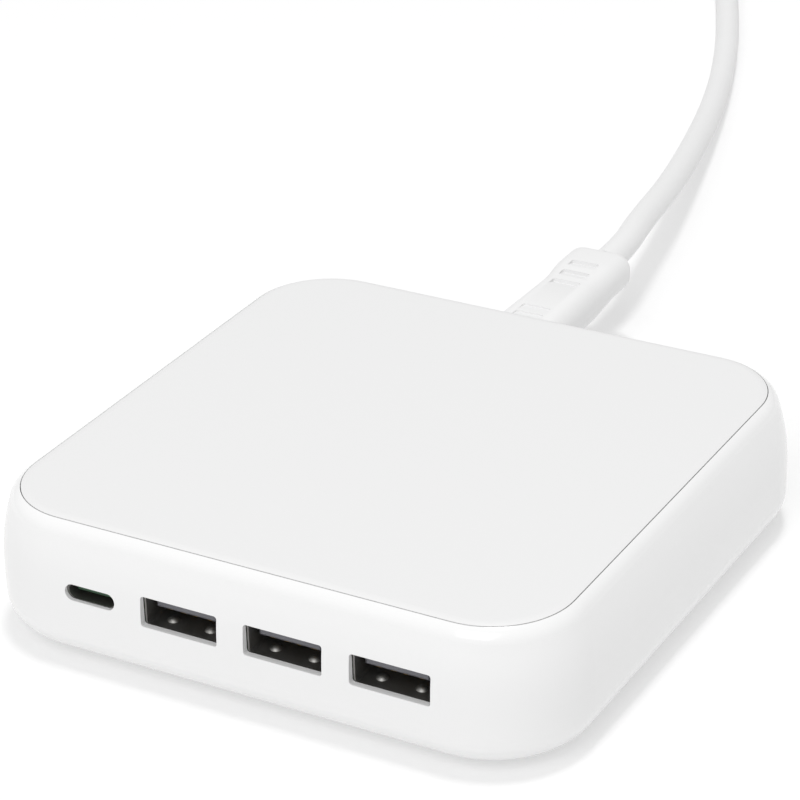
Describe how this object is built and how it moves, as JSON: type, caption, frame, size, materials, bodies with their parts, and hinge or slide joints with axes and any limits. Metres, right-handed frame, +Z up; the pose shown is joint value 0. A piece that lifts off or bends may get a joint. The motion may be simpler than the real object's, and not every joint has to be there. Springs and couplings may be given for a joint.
{
  "type": "desktop charger",
  "caption": "Low square desktop charger with rounded edges, USB outputs in its front and a mains lead plugged into its back, coiled and tied.",
  "frame": {"origin": "under the middle of the charger's body, on the surface that its feet stand on", "axes": "+Z up, the ports look along -Y, the mains lead leaves along +Y"},
  "size_m": [0.1322, 0.4054, 0.024],
  "materials": {
    "gloss_white_casing": "polished moulding",
    "matt_white_cover": "fine spark-eroded texture",
    "foot_rubber": "matt",
    "clear_film": "plain film",
    "circuit_board": "solder mask",
    "plated_steel": "bright nickel plate",
    "port_resin": "moulded",
    "green_port_resin": "moulded",
    "gilt_contact": "bright",
    "inlet_resin": "moulded",
    "brass_pin": "turned",
    "component_resin": "moulded",
    "yellow_box": "potted box",
    "ferrite": "ground",
    "copper_wire": "enamelled",
    "aluminium_sheet": "plain",
    "grey_pad": "soft",
    "blue_disc": "dipped",
    "can_sleeve": "shrink sleeve",
    "white_pvc": "satin moulding",
    "strap_fabric": "woven loop strap",
    "black_sleeve": "moulded"
  },
  "bodies": {
    "root": {"lower_housing": "gloss_white_casing", "top_cover": "matt_white_cover", "insulation_sheet": "clear_film", "main_board": "circuit_board", "port_board": "circuit_board", "usb_c_shell": "plated_steel", "usb_c_insulator": "green_port_resin", "usb_c_contacts": "gilt_contact", "inlet_housing": "inlet_resin", "inlet_pins": "brass_pin", "fuse": "component_resin", "x_capacitor": "yellow_box", "choke_core": "ferrite", "choke_windings": "copper_wire", "bridge_rectifier": "component_resin", "gan_switch": "component_resin", "primary_controller": "component_resin", "sync_rectifier": "component_resin", "transformer_core_lower": "ferrite", "transformer_core_upper": "ferrite", "transformer_bobbin": "component_resin", "transformer_winding": "copper_wire", "heat_spreader": "aluminium_sheet", "thermal_pad": "grey_pad", "y_capacitor": "blue_disc", "port_controllers": "component_resin", "mains_connector": "white_pvc", "connector_contacts": "brass_pin", "mains_cord": "white_pvc", "cord_coil": "white_pvc", "coil_tie": "strap_fabric", "cord_tail": "white_pvc", "plug_body": "white_pvc", "plug_pins": "plated_steel", "pin_sleeves": "black_sleeve", "foot_front_left": "foot_rubber", "foot_front_right": "foot_rubber", "foot_rear_left": "foot_rubber", "foot_rear_right": "foot_rubber", "usb_a_shell_1": "plated_steel", "usb_a_insulator_1": "port_resin", "usb_a_contacts_1": "gilt_contact", "bulk_capacitor_1": "can_sleeve", "usb_a_shell_2": "plated_steel", "usb_a_insulator_2": "port_resin", "usb_a_contacts_2": "gilt_contact", "bulk_capacitor_2": "can_sleeve", "usb_a_shell_3": "plated_steel", "usb_a_insulator_3": "port_resin", "usb_a_contacts_3": "gilt_contact", "bulk_capacitor_3": "can_sleeve", "output_capacitor_1": "aluminium_sheet", "output_inductor_1": "component_resin", "output_capacitor_2": "aluminium_sheet", "output_inductor_2": "component_resin", "output_capacitor_3": "aluminium_sheet", "output_inductor_3": "component_resin", "output_capacitor_4": "aluminium_sheet", "output_inductor_4": "component_resin"}
  },
  "joints": []
}
